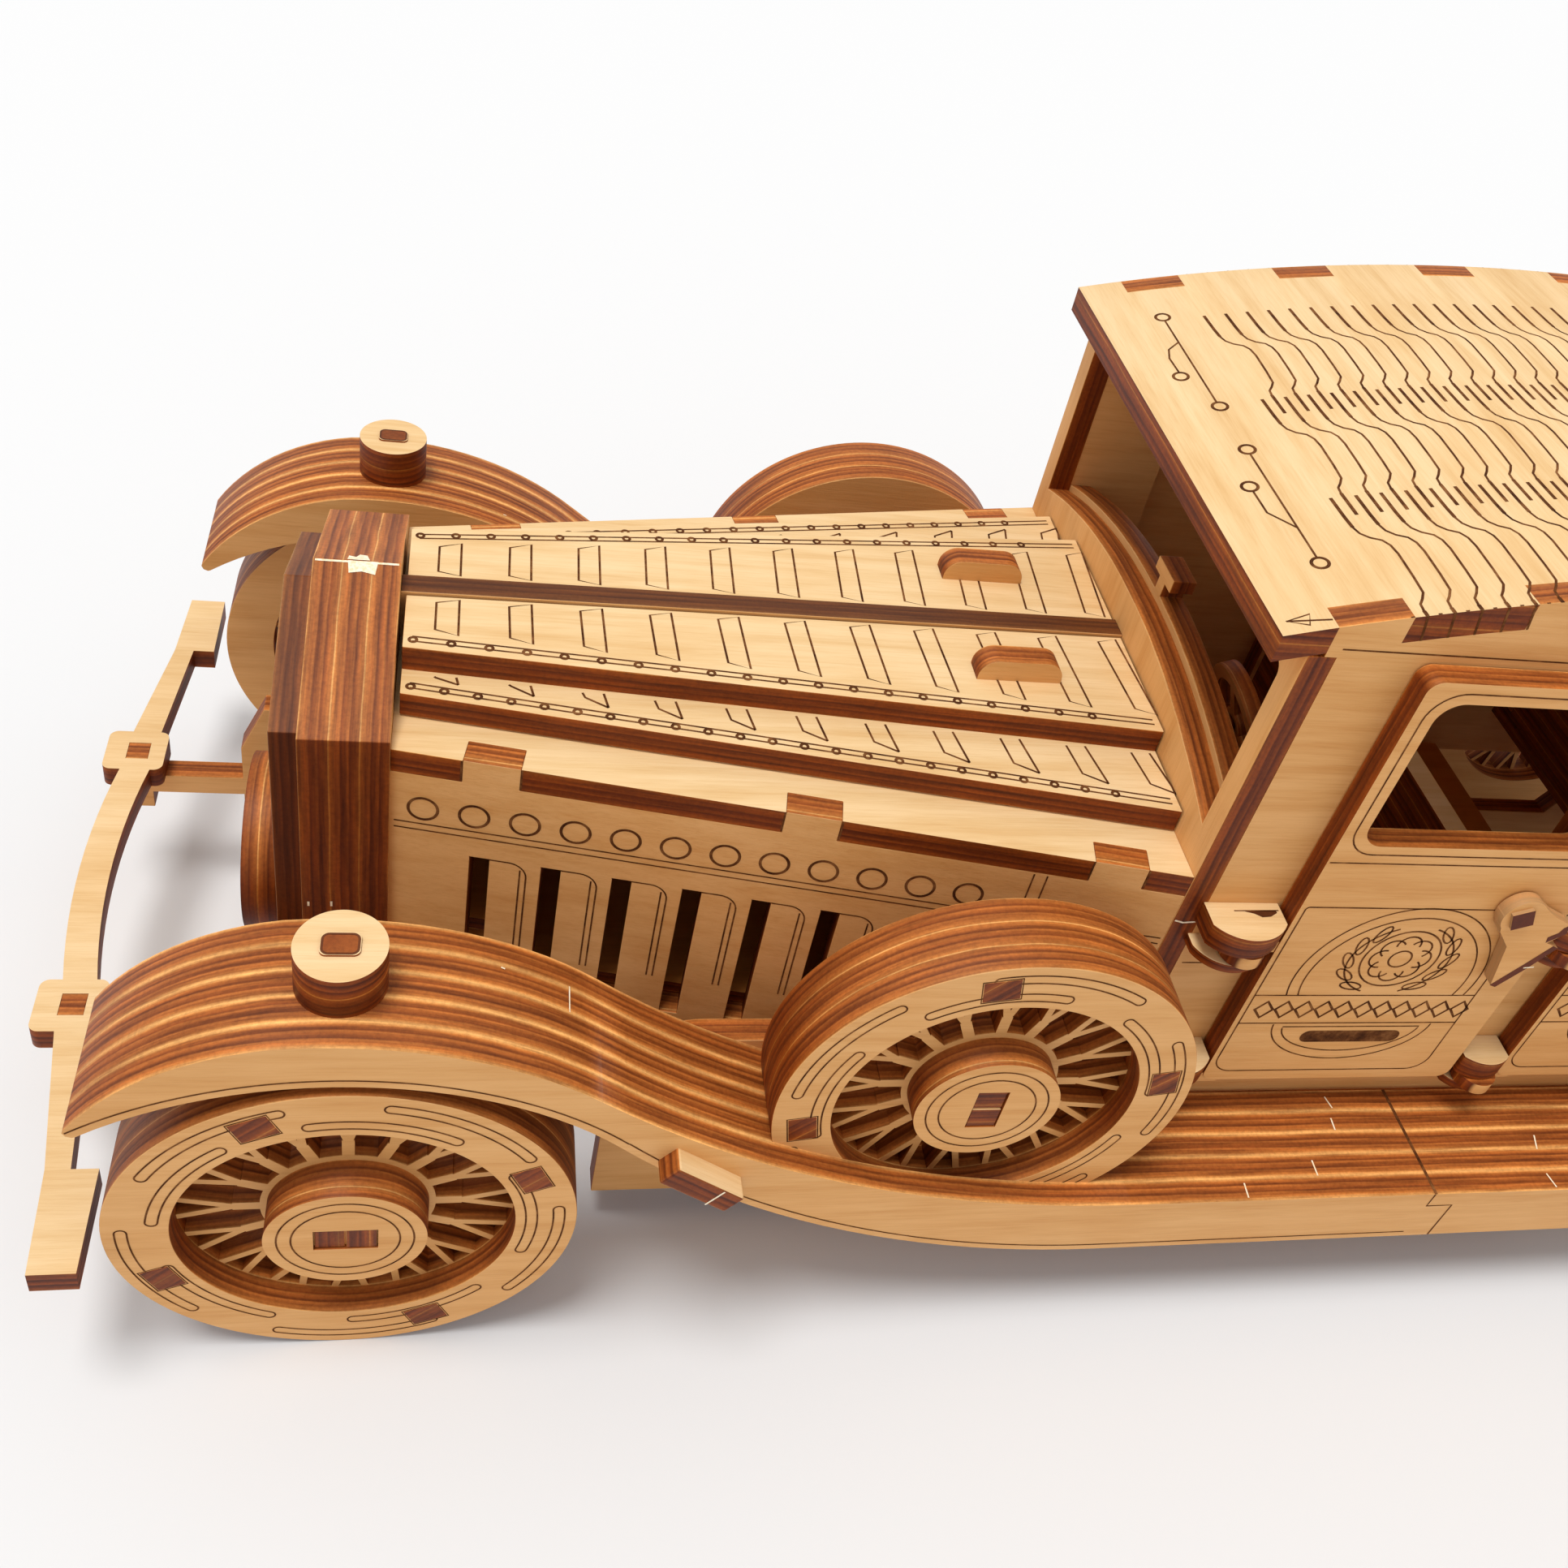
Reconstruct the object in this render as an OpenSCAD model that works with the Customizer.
// Laminated plywood model of a four door vintage car, built as an assembly of named pieces.
// Units mm. +X points to the front of the car, +Y to its left side, +Z up.
// Origin: middle of the overall box, on the ground plane.

/* [Sheet] */
// plywood sheet thickness
ply = 3.9; // [3:0.1:5]
// gap left round pieces that move
gap = 0.3; // [0.2:0.05:0.6]

/* [Wheels] */
// axle distance from the middle of the car
axle_x = 128; // [110:1:140]
// wheel radius
wheel_r = 30; // [24:0.5:36]
// outer face of the road wheels from the centre plane
wheel_face = 65.5; // [60:0.1:72]
// inner radius of the flat tyre ring
ring_r = 21.8; // [18:0.1:25]
// hub drum radius
hub_r = 10.4; // [8:0.1:13]
// hub drum height over the tyre face
hub_proud = 1.5; // [0.5:0.1:4]
// radius of the plain middle of the spoked disc
disc_r = 11.3; // [11:0.1:14]
// number of forked spokes
spoke_n = 16; // [12:1:24]
// radius where a spoke forks
fork_r = 14.3; // [13:0.1:17]
// axle rod radius
axle_r = 3; // [2:0.1:4]
// radial running clearance of rods in their bores
run_gap = 0.05; // [0.02:0.01:0.1]

/* [Fenders] */
// inner face of the fenders from the centre plane
fender_in = 46; // [42:0.1:50]
// running board top level
board_top = 29.2; // [26:0.1:33]
// running board underside level
board_low = 16.9; // [13:0.1:20]
// crown arc radius, upper edge
crown_r = 53.64; // [48:0.1:60]
// crown arc centre height, upper edge
crown_z = 15.84; // [10:0.1:22]
// crown arc centre ahead of the axle, upper edge
crown_dx = 2.5; // [0:0.1:6]
// sweep arc radius, upper edge
sweep_r = 130.6; // [100:1:160]
// crown arc radius, lower edge
under_r = 51.04; // [45:0.1:56]
// crown arc centre height, lower edge
under_z = 10.82; // [6:0.1:16]
// crown arc centre ahead of the axle, lower edge
under_dx = 1.12; // [0:0.1:4]
// sweep arc radius, lower edge
sweep_low_r = 109.6; // [80:1:140]
// rear fender tip behind its axle
tip_dx = 32; // [28:0.5:36]
// front fender nose arc radius
nose_r = 34; // [28:0.1:42]
// front fender nose arc centre height
nose_z = 35.6; // [30:0.1:40]
// front fender nose arc centre ahead of the axle
nose_dx = 3; // [0:0.1:6]
// middle of the front fender's rounded tip, ahead of the axle
nose_tip_dx = 30.8; // [28:0.1:36]
// middle of the front fender's rounded tip, height
nose_tip_z = 53.5; // [48:0.1:58]
// joint between front and rear fender pieces
split_x = -36.5; // [-60:0.5:0]

/* [Spare wheels] */
// spare wheel centre along the car
spare_x = 43.3; // [35:0.1:50]
// spare wheel centre height
spare_z = 49.8; // [45:0.1:55]

/* [Bonnet] */
// bonnet half width at the radiator
hood_w1 = 25.2; // [22:0.1:28]
// sideways flare of the bonnet per mm of length
hood_flare = 0.1838; // [0.1:0.001:0.3]
// top of the bonnet deck
deck_z = 79.2; // [74:0.1:84]
// front face of the cowl frame
cowl_x = 16.8; // [12:0.1:22]
// back face of the radiator shell
rad_x = 125.2; // [118:0.1:130]
// radiator shell half width
rad_w = 25.95; // [22:0.05:30]
// radiator shoulder height
rad_shoulder = 81; // [76:0.1:86]
// radiator ridge height
rad_ridge = 90.8; // [86:0.1:96]
// half width of the upper bonnet leaf at the front
leaf1_w1 = 13.6; // [10:0.1:16]
// half width of the upper bonnet leaf at the cowl
leaf1_w2 = 23.9; // [20:0.1:28]
// half width of the lower bonnet leaf at the front
leaf2_w1 = 18.6; // [16:0.1:22]
// half width of the lower bonnet leaf at the cowl
leaf2_w2 = 36.4; // [32:0.1:40]
// number of cooling slots in a bonnet side
louvre_n = 6; // [4:1:8]
// top of the cooling slots
louvre_top = 61.1; // [56:0.1:62]
// spacing of the cooling slots along the panel
louvre_pitch = 9.98; // [8:0.01:12]

/* [Cabin] */
// outer face of the body sides from the centre plane
side_y = 45.2; // [42:0.1:48]
// lower edge of the body sides
body_low = 28.4; // [25:0.1:32]
// front edge of the roof
roof_x = 21.4; // [18:0.1:26]
// highest point of the roof along the car
apex_x = -72; // [-90:1:-50]
// highest point of the roof above the ground
apex_z = 134.7; // [125:0.1:140]
// roof arc radius
roof_r = 348; // [250:1:420]
// station where the roof turns down at the rear
turn_x = -127; // [-135:1:-115]
// radius of the turn down
turn_r = 32; // [25:1:40]
// door leaf lower edge
door_low = 37.3; // [34:0.1:42]
// door leaf upper edge
door_top = 119.3; // [112:0.1:122]
// window sill height
sill_z = 90.3; // [84:0.1:96]
// window head height
head_z = 116; // [108:0.1:118]
// front door leaf, front edge
door1_x = 1.5; // [-2:0.1:4]
// rear door leaf, front edge
door2_x = -51.5; // [-55:0.1:-48]
// length of a door leaf
door_len = 43.9; // [38:0.1:48]

/* [Hidden] */
eps = 0.01;
wheel_w = 3 * ply;
wheel_in = wheel_face - wheel_w;
fender_out = fender_in + 5 * ply;
spare_face = fender_out - ply;
cowl_back = cowl_x - ply;
flare_a = atan(hood_flare);
hood_len = (rad_x - cowl_x) / cos(flare_a);
leaf_gap = ply / 2 + gap;
leaf2_z = deck_z + gap;
leaf1_z = leaf2_z + 3.7;
leaf_top = leaf1_z + ply;
spine_top = leaf_top + 0.4;
roof_cz = apex_z - roof_r;
turn_a = asin((apex_x - turn_x) / roof_r);
turn_cx = turn_x + turn_r * sin(turn_a);
turn_cz = roof_cz + roof_r * cos(turn_a) - turn_r * cos(turn_a);
tail_a = 5;
tail_len = 67;
roof_end = 104;
tab_len = 9.3;
tab_pitch = 25;
tab_x0 = 14.6;
nose_tip_r = 1.05;
grip_x0 = 30.5;
grip_x1 = 43.5;
grip_y = 10.2;
grip_deep = 2;
grip_proud = 3.4;
door_in = side_y + gap;
door_out = door_in + 3.6;
pin_y = side_y + 3.7;
pin1_x = door1_x + 5.5;
pin2_x = door2_x + 4.1;
pin_r = 1;
knuckle_r = 3.3;
knuckle_t = 2.2;
upper_knuckle = 67.9;
lower_knuckle = 36.6;
hinge_low_t = 1.6;
handle_dx = 10.2;
handle_z = 79;
handle_t = 2;
peg_r = 1.8;
rail_y = 26.85;
rail_low = 18;
rail_mid = 26;
rail_top = 40;
pan_low = 32;
bump_z = 27.8;
steer_tilt = 22;
steer_p = [-2, 13, 80.5];

wood_face = [0.87, 0.70, 0.47];
wood_edge = [0.52, 0.30, 0.16];
wood_dark = [0.30, 0.16, 0.09];

// which piece to draw

function hood_w(x) = hood_w1 + (rad_x - x) * hood_flare;

// ---- placing helpers ----

// stands a flat outline drawn in x and z upright, from y0 to y0 + t
module wall(y0, t) {
  translate([0, y0 + t, 0])
    rotate([90, 0, 0])
      linear_extrude(height = t)
        children();
}

// stands a flat outline drawn in y and z across the car, from x0 to x0 + t
module bulkhead(x0, t) {
  translate([x0, 0, 0])
    rotate([90, 0, 90])
      linear_extrude(height = t)
        children();
}

// lays a flat outline level, from z0 to z0 + t
module sheet(z0, t) {
  translate([0, 0, z0])
    linear_extrude(height = t)
      children();
}

module to_right() {
  mirror([0, 1, 0])
    children();
}

// rectangle with rounded corners
module round_box(x0, y0, x1, y1, r) {
  translate([x0, y0 + r])
    square([x1 - x0, y1 - y0 - 2 * r]);
  translate([x0 + r, y0])
    square([x1 - x0 - 2 * r, y1 - y0]);
  for (x = [x0 + r, x1 - r])
    for (y = [y0 + r, y1 - r])
      translate([x, y])
        circle(r = r, $fn = 64);
}

// ---- chassis ----

module rail_half() {
  difference() {
    union() {
      translate([0, rail_low])
        square([152, rail_mid - rail_low]);
      polygon([[110, rail_low], [152, rail_low], [152, 31], [148, rail_top], [118, rail_top], [110, rail_mid]]);
      translate([150, bump_z - 2 * ply])
        square([20.6, ply]);
      translate([166.8, 16.4])
        square([3.1, 6]);
      translate([167.1, 22])
        square([3.5, bump_z - 22]);
    }
    translate([axle_x, wheel_r])
      circle(r = axle_r + run_gap, $fn = 64);
  }
}

module rail_outline() {
  rail_half();
  mirror([1, 0])
    rail_half();
}

module rail_l() {
  color(wood_face)
    wall(rail_y - ply / 2, ply)
      rail_outline();
}

module rail_r() {
  color(wood_face)
    wall(-rail_y - ply / 2, ply)
      rail_outline();
}

module cross_members() {
  inner = rail_y - ply / 2;
  outer = rail_y + ply / 2;
  color(wood_face)
    union() {
      for (x = [134, 92, 40, -40, -92, -142])
        translate([x, -inner, rail_low])
          cube([ply, 2 * inner, rail_mid - rail_low]);
      for (x = [70, 10, -50])
        for (s = [0, 1])
          mirror([0, s, 0])
            translate([x, outer, 12])
              cube([ply, fender_in - ply - outer, 14]);
    }
}

// level pan between the bonnet sides, from x0 to x1
module pan(x0, x1, z0, t) {
  side = ply / cos(flare_a) + 0.01;
  sheet(z0, t)
    polygon([[x0, side - hood_w(x0)], [x1, side - hood_w(x1)], [x1, hood_w(x1) - side], [x0, hood_w(x0) - side]]);
}

module floor_panel() {
  color(wood_face)
    union() {
      pan(cowl_x, 108, pan_low, ply);
      pan(108 - ply, 108, pan_low, rail_top + ply - pan_low);
      pan(108 - ply, rad_x, rail_top, ply);
      translate([-89.9, ply - side_y, rail_mid])
        cube([89.9 + cowl_back - ply, 2 * (side_y - ply), ply]);
      translate([-154.5, ply - side_y, rail_top])
        cube([56, 2 * (side_y - ply), ply]);
    }
}

module sill_outline() {
  difference() {
    union() {
      translate([-96, 5.5])
        square([189, body_low - 5.5]);
      polygon([[80, 20], [80, 44], [38, 44], [32, body_low], [32, 20]]);
      translate([80, 31])
        circle(r = 13, $fn = 96);
    }
    translate([axle_x, wheel_r])
      circle(r = 36, $fn = 128);
    translate([-axle_x, wheel_r])
      circle(r = 36, $fn = 128);
  }
}

module sill_l() {
  color(wood_face)
    wall(fender_in - ply, ply)
      sill_outline();
}

module sill_r() {
  color(wood_face)
    wall(-fender_in, ply)
      sill_outline();
}

module bumper_outline() {
  intersection() {
    difference() {
      translate([173 - 130, 0])
        circle(r = 130, $fn = 200);
      translate([173 - 130, 0])
        circle(r = 125.4, $fn = 200);
    }
    translate([160, -23])
      square([20, 46]);
  }
  for (s = [0, 1])
    mirror([0, s]) {
      difference() {
        round_box(164.5, 22.3, 174, 31.6, 1.4);
        translate([167.1, rail_y - ply / 2])
          square([3.5, ply]);
      }
      polygon([[170.5, 31], [167.1, 54], [166.3, 69], [160.4, 69], [160.4, 54], [163.9, 54], [166, 31]]);
    }
}

module bumper_front() {
  color(wood_face)
    sheet(bump_z - ply, ply)
      bumper_outline();
}

module bumper_rear() {
  color(wood_face)
    sheet(bump_z - ply, ply)
      mirror([1, 0])
        bumper_outline();
}

// ---- radiator ----

module pentagon(w, low, shoulder, ridge) {
  polygon([[-w, low], [w, low], [w, shoulder], [0, ridge], [-w, shoulder]]);
}

module radiator_shell() {
  color(wood_edge)
    bulkhead(rad_x, 3 * ply)
      difference() {
        pentagon(rad_w, rail_top, rad_shoulder, rad_ridge);
        pentagon(16.5, 46, rad_shoulder - 5, rad_ridge - 8.6);
      }
}

module radiator_grille() {
  color(wood_dark)
    bulkhead(rad_x + 3 * ply, ply)
      difference() {
        pentagon(22.5, rail_top, 78.9, 87.6);
        for (i = [-3:3])
          translate([i * 4.4 - 1, 48])
            square([2, 26]);
      }
}

module front_roundel() {
  x1 = 147.1;
  color(wood_edge)
    union() {
      translate([x1 - 5.6, 0, 35])
        rotate([0, 90, 0])
          cylinder(r = 14, h = 5.6, $fn = 128);
      translate([rad_x + 4 * ply, 0, 40])
        rotate([0, 90, 0])
          cylinder(r = 3, h = x1 - 1 - rad_x - 4 * ply, $fn = 48);
    }
}

// ---- bonnet ----

function along(x) = (rad_x - x) / cos(flare_a);

module hood_side() {
  intersection() {
    translate([rad_x, hood_w(rad_x), 0])
      rotate([0, 0, 180 - flare_a])
        translate([0, ply, 0])
          rotate([90, 0, 0])
            linear_extrude(height = ply)
              difference() {
                union() {
                  translate([0, rail_top])
                    square([hood_len + 2, deck_z - ply - rail_top]);
                  translate([along(106), pan_low])
                    square([hood_len + 2 - along(106), 10]);
                  for (x = [115.9, 73.3, 30.7])
                    translate([along(x), 60])
                      square([7.7, deck_z - 60]);
                }
                for (i = [0:louvre_n - 1])
                  translate([along(114.3) + i * louvre_pitch, pan_low + 1.5])
                    square([2.8, louvre_top - pan_low - 1.5]);
              }
    translate([cowl_x, 0, 0])
      cube([130, 60, 100]);
  }
}

module hood_side_l() {
  color(wood_face)
    hood_side();
}

module hood_side_r() {
  color(wood_face)
    to_right()
      hood_side();
}

module hood_deck() {
  x0 = cowl_x;
  color(wood_face)
    difference() {
      sheet(deck_z - ply, ply)
        polygon([[x0, -hood_w(x0)], [rad_x, -hood_w(rad_x)], [rad_x, hood_w(rad_x)], [x0, hood_w(x0)]]);
      for (s = [0, 1])
        mirror([0, s, 0])
          for (x = [115.9, 73.3, 30.7])
            translate([rad_x, hood_w(rad_x), deck_z - ply - 1])
              rotate([0, 0, 180 - flare_a])
                translate([along(x), -1, 0])
                  cube([7.7, ply + 1, ply + 2]);
    }
}

module bonnet_spine() {
  color(wood_dark)
    translate([cowl_x, -ply / 2, deck_z])
      cube([rad_x - cowl_x, ply, spine_top - deck_z]);
}

module leaf(z0, t, w1, w2) {
  sheet(z0, t)
    polygon([[cowl_x + gap, leaf_gap], [rad_x - 0.8, leaf_gap], [rad_x - 0.8, w1], [cowl_x + gap, w2]]);
}

module bonnet_upper() {
  difference() {
    leaf(leaf1_z, ply, leaf1_w1, leaf1_w2);
    translate([grip_x0, grip_y - eps, leaf_top - grip_deep - 0.01])
      cube([grip_x1 - grip_x0, ply + 2 * eps, 4]);
  }
}

module bonnet_tab() {
  wall(grip_y, ply)
    difference() {
      round_box(grip_x0, leaf_top - 8, grip_x1, leaf_top + grip_proud, 2.8);
      translate([grip_x0 - 10, leaf_top - 20 - grip_deep])
        square([40, 20]);
    }
}

module bonnet_upper_l() {
  color(wood_face)
    bonnet_upper();
}

module bonnet_upper_r() {
  color(wood_face)
    to_right()
      bonnet_upper();
}

module bonnet_lower_l() {
  color(wood_face)
    leaf(leaf2_z, leaf1_z - leaf2_z, leaf2_w1, leaf2_w2);
}

module bonnet_lower_r() {
  color(wood_face)
    to_right()
      leaf(leaf2_z, leaf1_z - leaf2_z, leaf2_w1, leaf2_w2);
}

module bonnet_tab_l() {
  color(wood_edge)
    bonnet_tab();
}

module bonnet_tab_r() {
  color(wood_edge)
    to_right()
      bonnet_tab();
}

// ---- cowl and dash ----

module cowl_frame() {
  color(wood_face)
    bulkhead(cowl_back, ply)
      difference() {
        translate([-side_y, body_low])
          square([2 * side_y, 119.1 - body_low]);
        difference() {
          round_box(-41.2, 70, 41.2, 114.6, 2);
          translate([0, 93.5 - 114])
            circle(r = 114, $fn = 256);
        }
      }
}

module dashboard() {
  color(wood_edge)
    bulkhead(cowl_back - ply, ply)
      union() {
        intersection() {
          translate([-41.2, 30])
            square([82.4, 70]);
          translate([0, 94.7 - 114])
            circle(r = 114, $fn = 256);
        }
        translate([-1.2, 94])
          square([2.4, 4]);
        translate([-3.4, 97])
          square([6.8, 2.2]);
      }
}

module steer_place() {
  translate(steer_p)
    rotate([0, -90 + steer_tilt, 0])
      children();
}

module steering_column() {
  color(wood_edge)
    union() {
      intersection() {
        steer_place()
          translate([0, 0, -16])
            cylinder(r = 1.8, h = 14.4, $fn = 48);
        translate([-40, 0, 0])
          cube([40 + cowl_back - ply, 60, 120]);
      }
      steer_place()
        translate([0, 0, -3])
          cylinder(r = 1, h = 6, $fn = 48);
    }
}

module steering_wheel() {
  color(wood_face)
    steer_place()
      translate([0, 0, -1.3])
        linear_extrude(height = 2.6)
          difference() {
            union() {
              difference() {
                circle(r = 9.6, $fn = 96);
                circle(r = 7.2, $fn = 96);
              }
              circle(r = 2.7, $fn = 64);
              for (a = [0, 120, 240])
                rotate(a)
                  translate([0, -0.9])
                    square([8, 1.8]);
            }
            circle(r = 1 + run_gap, $fn = 48);
          }
}

// ---- cabin ----

// inside of the body line, moved in by o
module envelope(o) {
  ax = turn_cx - (turn_r - o) * cos(tail_a);
  az = turn_cz + (turn_r - o) * sin(tail_a);
  bx = ax - tail_len * sin(tail_a);
  bz = az - tail_len * cos(tail_a);
  intersection() {
    translate([apex_x, roof_cz])
      circle(r = roof_r - o, $fn = 256);
    translate([turn_x, 60])
      square([roof_x - turn_x, 80]);
  }
  translate([turn_cx, turn_cz])
    circle(r = turn_r - o, $fn = 200);
  polygon([[turn_cx, turn_cz], [ax, az], [bx, bz], [bx, body_low], [roof_x, body_low], [roof_x, 70], [turn_cx, 70]]);
}

module roof_band() {
  intersection() {
    difference() {
      envelope(0);
      envelope(ply);
    }
    union() {
      translate([turn_cx, roof_end])
        square([roof_x - turn_cx, 50]);
      translate([-200, roof_end])
        square([100, 50]);
    }
  }
}

module roof_tabs() {
  for (i = [0:5])
    translate([tab_x0 - tab_len - i * tab_pitch, 80])
      square([tab_len, 80]);
}

module roof_panel() {
  color(wood_face)
    difference() {
      wall(-side_y, 2 * side_y)
        roof_band();
      for (s = [0, 1])
        mirror([0, s, 0])
          wall(side_y - ply, ply + 1)
            roof_tabs();
    }
}

module body_side_outline() {
  difference() {
    union() {
      intersection() {
        envelope(ply);
        translate([-200, 20])
          square([200 + cowl_back, 130]);
      }
      intersection() {
        envelope(0);
        roof_tabs();
        translate([-200, 20])
          square([200 + cowl_back + 6, 130]);
        translate([-200, 100])
          square([300, 40]);
      }
    }
    round_box(door1_x - 40.5, 41.5, door1_x - 4, 116.4, 3);
    difference() {
      round_box(door2_x - 40.5, 41.5, door2_x - 4, 116.4, 3);
      translate([-axle_x - crown_dx, crown_z])
        circle(r = crown_r + 5, $fn = 200);
    }
    translate([-axle_x, wheel_r])
      circle(r = 8, $fn = 96);
  }
}

module body_side_l() {
  color(wood_face)
    difference() {
      wall(side_y - ply, ply)
        body_side_outline();
      translate([cowl_back, 0, 0])
        cube([30, 60, 119.15]);
    }
}

module body_side_r() {
  color(wood_face)
    to_right()
      difference() {
        wall(side_y - ply, ply)
          body_side_outline();
        translate([cowl_back, 0, 0])
          cube([30, 60, 119.15]);
      }
}

module rear_panel() {
  color(wood_face)
    difference() {
      wall(-side_y, 2 * side_y)
        intersection() {
          difference() {
            envelope(0);
            envelope(ply);
          }
          translate([-200, 34])
            square([100, roof_end - 34]);
        }
      translate([-170, -17, 78])
        cube([30, 34, 17]);
    }
}

module bench(x0, z0) {
  translate([x0, -36, z0])
    cube([22, 72, 14]);
  translate([x0 - ply, -36, z0])
    cube([ply, 72, 42]);
}

module seats() {
  color(wood_face)
    union() {
      bench(-36, rail_mid + ply);
      bench(-120, rail_top + ply);
    }
}

// ---- fenders ----

// everything under an edge that runs level, then sweeps up into the crown arc
module under_edge(cx, cz, r, level, sweep, x_min, x_max) {
  xb = round(100 * (cx - sqrt(pow(r + sweep, 2) - pow(level + sweep - cz, 2)))) / 100;
  xi = cx + (xb - cx) * r / (r + sweep);
  zi = cz + (level + sweep - cz) * r / (r + sweep);
  translate([x_min, 0])
    square([xb - x_min, level]);
  difference() {
    translate([xb, 0])
      square([xi - xb, zi + 5]);
    translate([xb, level + sweep])
      circle(r = sweep, $fn = 400);
  }
  intersection() {
    translate([cx, cz])
      circle(r = r, $fn = 256);
    translate([xi, 0])
      square([x_max - xi, 90]);
  }
}

// everything behind the rounded tip of the front fender
module behind_tip() {
  tip_x = axle_x + nose_tip_dx;
  tip_arc = [for (a = [-130 : 42 : 38]) [tip_x + nose_tip_r * cos(a), nose_tip_z + nose_tip_r * sin(a)]];
  polygon(concat([[split_x - 10, 0], [tip_x - 2, 0]], tip_arc, [[tip_x - 8, 100], [split_x - 10, 100]]));
}

// everything under the nose arc, which takes over from the crown arc
module under_nose() {
  nose_x = axle_x + nose_dx;
  translate([split_x - 10, 0])
    square([nose_x - split_x + 10, 100]);
  translate([nose_x, nose_z])
    circle(r = nose_r, $fn = 256);
}

module fender_front_outline() {
  tip_x = axle_x + tip_dx;
  intersection() {
    difference() {
      under_edge(axle_x + crown_dx, crown_z, crown_r, board_top, sweep_r, split_x, tip_x);
      under_edge(axle_x + under_dx, under_z, under_r, board_low, sweep_low_r, split_x - 5, tip_x + 5);
    }
    under_nose();
    behind_tip();
  }
}

module fender_front() {
  difference() {
    union() {
      wall(fender_in, 5 * ply)
        fender_front_outline();
      translate([split_x - 4.6, fender_in, board_low])
        cube([5, 5 * ply, 8.9]);
    }
    translate([spare_x, spare_face - wheel_w, spare_z])
      rotate([-90, 0, 0])
        cylinder(r = wheel_r, h = wheel_w, $fn = 200);
  }
}

module fender_rear_outline() {
  difference() {
    union() {
      translate([-100, board_low])
        square([100 + split_x, board_top - board_low]);
      intersection() {
        translate([-axle_x - crown_dx, crown_z])
          circle(r = crown_r, $fn = 256);
        translate([-axle_x - tip_dx, board_low])
          square([100, 80]);
      }
    }
    translate([-axle_x - under_dx, under_z])
      circle(r = under_r, $fn = 256);
  }
}

module fender_rear() {
  difference() {
    wall(fender_in, 5 * ply)
      fender_rear_outline();
    translate([split_x - 4.6, fender_in - 1, board_low - 1])
      cube([6, 5 * ply + 2, 9.9]);
  }
}

module fender_front_l() {
  color(wood_edge)
    fender_front();
}

module fender_front_r() {
  color(wood_edge)
    to_right()
      fender_front();
}

module fender_rear_l() {
  color(wood_edge)
    fender_rear();
}

module fender_rear_r() {
  color(wood_edge)
    to_right()
      fender_rear();
}

module lamp() {
  difference() {
    translate([axle_x + 1.1, (fender_in + fender_out) / 2, crown_z + crown_r])
      union() {
        translate([0, 0, -1])
          cylinder(r = 5.5, h = 7.6, $fn = 96);
        translate([0, 0, 6])
          linear_extrude(height = 0.9)
            round_box(-2.35, -1.7, 2.35, 1.7, 0.8);
      }
    wall(fender_in, 5 * ply)
      translate([axle_x + crown_dx, crown_z])
        circle(r = crown_r, $fn = 256);
  }
}

module lamp_l() {
  color(wood_face)
    lamp();
}

module lamp_r() {
  color(wood_face)
    to_right()
      lamp();
}

// ---- doors ----

module door_leaf(x1, px) {
  x0 = x1 - door_len;
  difference() {
    union() {
      wall(door_in, door_out - door_in)
        difference() {
          round_box(x0, door_low, x1, door_top, 2);
          round_box(x0 + 3.4, sill_z, x1 - 3.3, head_z, 3.5);
          translate([-axle_x - crown_dx, crown_z])
            circle(r = crown_r + 1.6, $fn = 200);
        }
      for (z = [upper_knuckle, lower_knuckle])
        sheet(z, knuckle_t)
          difference() {
            union() {
              translate([px, pin_y])
                circle(r = knuckle_r, $fn = 64);
              translate([x1 - 3, door_in + 0.2])
                square([px - x1 + 3, door_out - door_in - 0.4]);
            }
            translate([px, pin_y])
              circle(r = pin_r + run_gap, $fn = 48);
          }
    }
    translate([x0 + handle_dx, door_in - 1, handle_z])
      rotate([-90, 0, 0])
        cylinder(r = peg_r + run_gap, h = 8, $fn = 48);
  }
}

// curved plate of a hinge stack, flat along the body side
module hinge_plate(px, back, ahead, off, r) {
  intersection() {
    translate([px + off, side_y])
      circle(r = r, $fn = 96);
    translate([px - back, side_y])
      square([back + ahead, 12]);
  }
}

module hinge_stack(px, back, ahead, off, r) {
  for (z = [upper_knuckle, lower_knuckle]) {
    sheet(z + knuckle_t + gap, ply)
      hinge_plate(px, back, ahead, off, r);
    sheet(z - gap - hinge_low_t, hinge_low_t)
      hinge_plate(px, back, ahead, off, r - 1);
    translate([px, pin_y, z - gap - 1])
      cylinder(r = pin_r, h = knuckle_t + 2 * gap + 3, $fn = 48);
  }
}

module hinges() {
  hinge_stack(pin1_x, 5, 6.6, 0.9, 7.1);
  hinge_stack(pin2_x, 3.7, 4.4, 0.3, 5.9);
}

module hinges_l() {
  color(wood_face)
    hinges();
}

module hinges_r() {
  color(wood_face)
    to_right()
      hinges();
}

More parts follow.
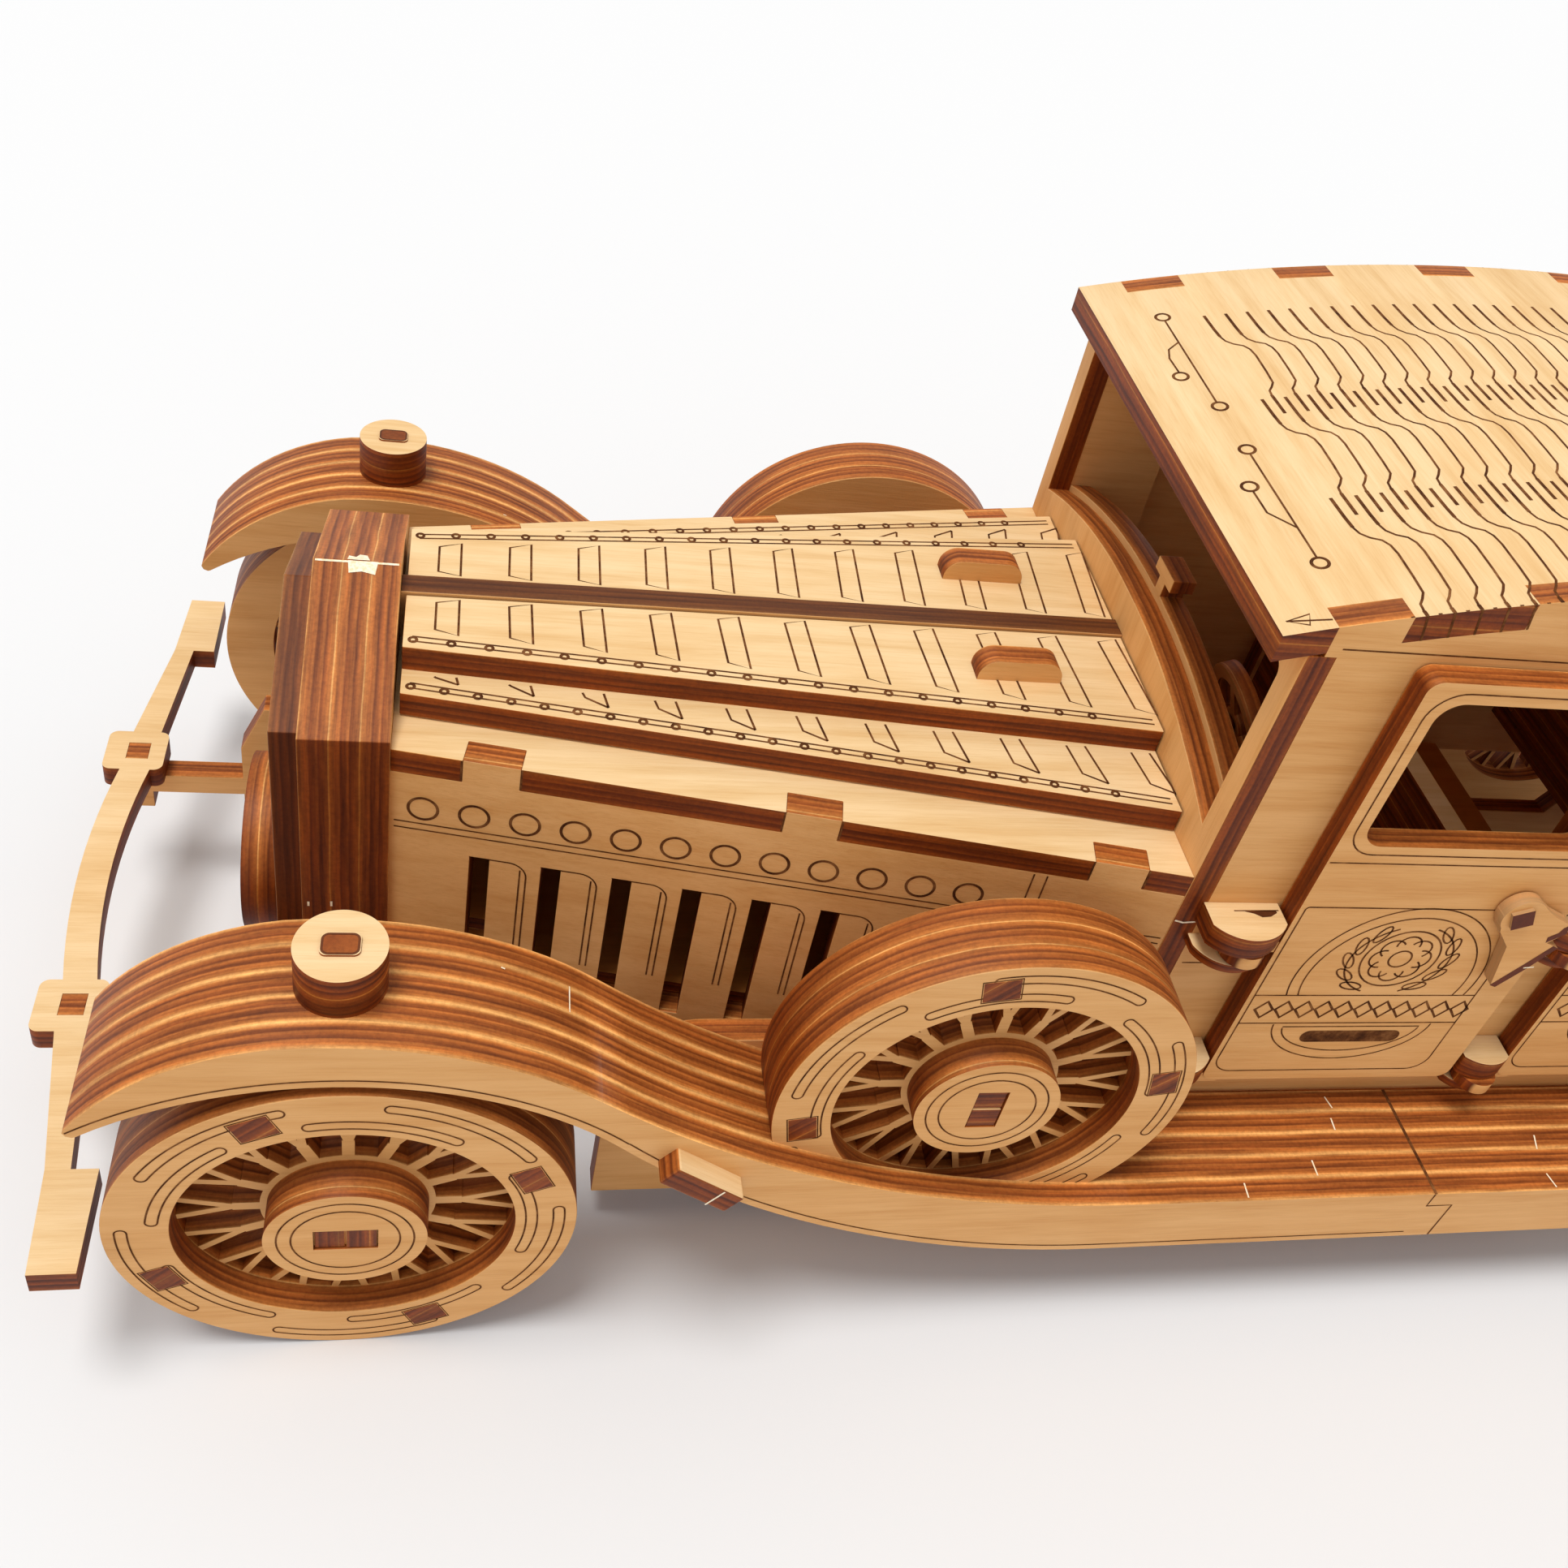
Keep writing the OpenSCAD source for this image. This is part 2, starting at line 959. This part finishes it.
module door_handle(x1) {
  hx = x1 - door_len + handle_dx;
  face = door_out + gap;
  translate([hx, door_in, handle_z])
    rotate([-90, 0, 0])
      cylinder(r = peg_r, h = face + 1 - door_in, $fn = 48);
  wall(face + handle_t - 0.5, 1.1)
    translate([hx, handle_z])
      rotate(-22)
        square(3.2, center = true);
  wall(face, handle_t)
    translate([hx, handle_z])
      union() {
        translate([-0.6, -0.2])
          circle(r = 3.4, $fn = 64);
        polygon([[2.8, 0], [1.7, -3.2], [-1.2, -6.5], [-3.2, -15.3], [-4.2, -15.8], [-7.3, -11.4],
          [-10, -6.7], [-7.5, -5.6], [-9.6, -3.5], [-9.2, -1.6], [-5.6, 0.2], [-2.4, 2.6]]);
      }
}

module door_fl() {
  color(wood_face)
    door_leaf(door1_x, pin1_x);
}

module door_fr() {
  color(wood_face)
    to_right()
      door_leaf(door1_x, pin1_x);
}

module door_rl() {
  color(wood_face)
    door_leaf(door2_x, pin2_x);
}

module door_rr() {
  color(wood_face)
    to_right()
      door_leaf(door2_x, pin2_x);
}

module handle_fl() {
  color(wood_face)
    door_handle(door1_x);
}

module handle_fr() {
  color(wood_face)
    to_right()
      door_handle(door1_x);
}

module handle_rl() {
  color(wood_face)
    door_handle(door2_x);
}

module handle_rr() {
  color(wood_face)
    to_right()
      door_handle(door2_x);
}

// ---- wheels ----

// flat ring of the wheel, standing with its outer face at y
module tyre(x, y, z) {
  translate([x, y, z])
    rotate([90, 0, 0])
      linear_extrude(height = wheel_w)
        difference() {
          circle(r = wheel_r, $fn = 200);
          circle(r = ring_r, $fn = 160);
        }
}

module spoke() {
  translate([disc_r - 1, -0.8])
    square([fork_r - disc_r + 1.4, 1.6]);
  for (s = [-1, 1])
    translate([fork_r, 0])
      rotate(s * 15.5)
        translate([-0.4, -0.5])
          square([9, 1]);
}

// spoked disc and hub drum, its key slot turned by key
module spider(x, y, z, proud, key) {
  translate([x, y, z])
    rotate([90, 0, 0])
      difference() {
        union() {
          translate([0, 0, ply])
            linear_extrude(height = ply)
              intersection() {
                union() {
                  circle(r = disc_r, $fn = 96);
                  for (i = [0:spoke_n - 1])
                    rotate(i * 360 / spoke_n)
                      spoke();
                }
                circle(r = ring_r, $fn = 160);
              }
          translate([0, 0, -proud])
            cylinder(r = hub_r, h = wheel_w + proud, $fn = 96);
        }
        rotate(key)
          translate([-4.1, -2.25, -proud - 1])
            cube([8.2, 4.5, 1.7]);
      }
}

module tyre_fl() {
  color(wood_edge)
    tyre(axle_x, wheel_face, wheel_r);
}

module tyre_fr() {
  color(wood_edge)
    to_right()
      tyre(axle_x, wheel_face, wheel_r);
}

module tyre_rl() {
  color(wood_edge)
    tyre(-axle_x, wheel_face, wheel_r);
}

module tyre_rr() {
  color(wood_edge)
    to_right()
      tyre(-axle_x, wheel_face, wheel_r);
}

module spider_fl() {
  color(wood_face)
    spider(axle_x, wheel_face, wheel_r, hub_proud, 0);
}

module spider_fr() {
  color(wood_face)
    to_right()
      spider(axle_x, wheel_face, wheel_r, hub_proud, 0);
}

module spider_rl() {
  color(wood_face)
    spider(-axle_x, wheel_face, wheel_r, hub_proud, 0);
}

module spider_rr() {
  color(wood_face)
    to_right()
      spider(-axle_x, wheel_face, wheel_r, hub_proud, 0);
}

module axle_rod(x) {
  translate([x, wheel_in, wheel_r])
    rotate([90, 0, 0])
      cylinder(r = axle_r, h = 2 * wheel_in, $fn = 64);
}

module axle_front() {
  color(wood_edge)
    axle_rod(axle_x);
}

module axle_rear() {
  color(wood_edge)
    axle_rod(-axle_x);
}

module spare_tyre_l() {
  color(wood_edge)
    tyre(spare_x, spare_face, spare_z);
}

module spare_tyre_r() {
  color(wood_edge)
    to_right()
      tyre(spare_x, spare_face, spare_z);
}

module spare_spider_l() {
  color(wood_face)
    spider(spare_x, spare_face, spare_z, 0.7, 90);
}

module spare_spider_r() {
  color(wood_face)
    to_right()
      spider(spare_x, spare_face, spare_z, 0.7, 90);
}

rail_l();
rail_r();
cross_members();
floor_panel();
sill_l();
sill_r();
bumper_front();
bumper_rear();
radiator_shell();
radiator_grille();
front_roundel();
hood_side_l();
hood_side_r();
hood_deck();
bonnet_spine();
bonnet_upper_l();
bonnet_lower_l();
bonnet_tab_l();
bonnet_upper_r();
bonnet_lower_r();
bonnet_tab_r();
cowl_frame();
dashboard();
steering_column();
steering_wheel();
body_side_l();
body_side_r();
roof_panel();
rear_panel();
seats();
fender_front_l();
fender_front_r();
fender_rear_l();
fender_rear_r();
lamp_l();
lamp_r();
door_fl();
door_fr();
door_rl();
door_rr();
handle_fl();
handle_fr();
handle_rl();
handle_rr();
hinges_l();
hinges_r();
tyre_fl();
spider_fl();
tyre_fr();
spider_fr();
tyre_rl();
spider_rl();
tyre_rr();
spider_rr();
axle_front();
axle_rear();
spare_tyre_l();
spare_spider_l();
spare_tyre_r();
spare_spider_r();
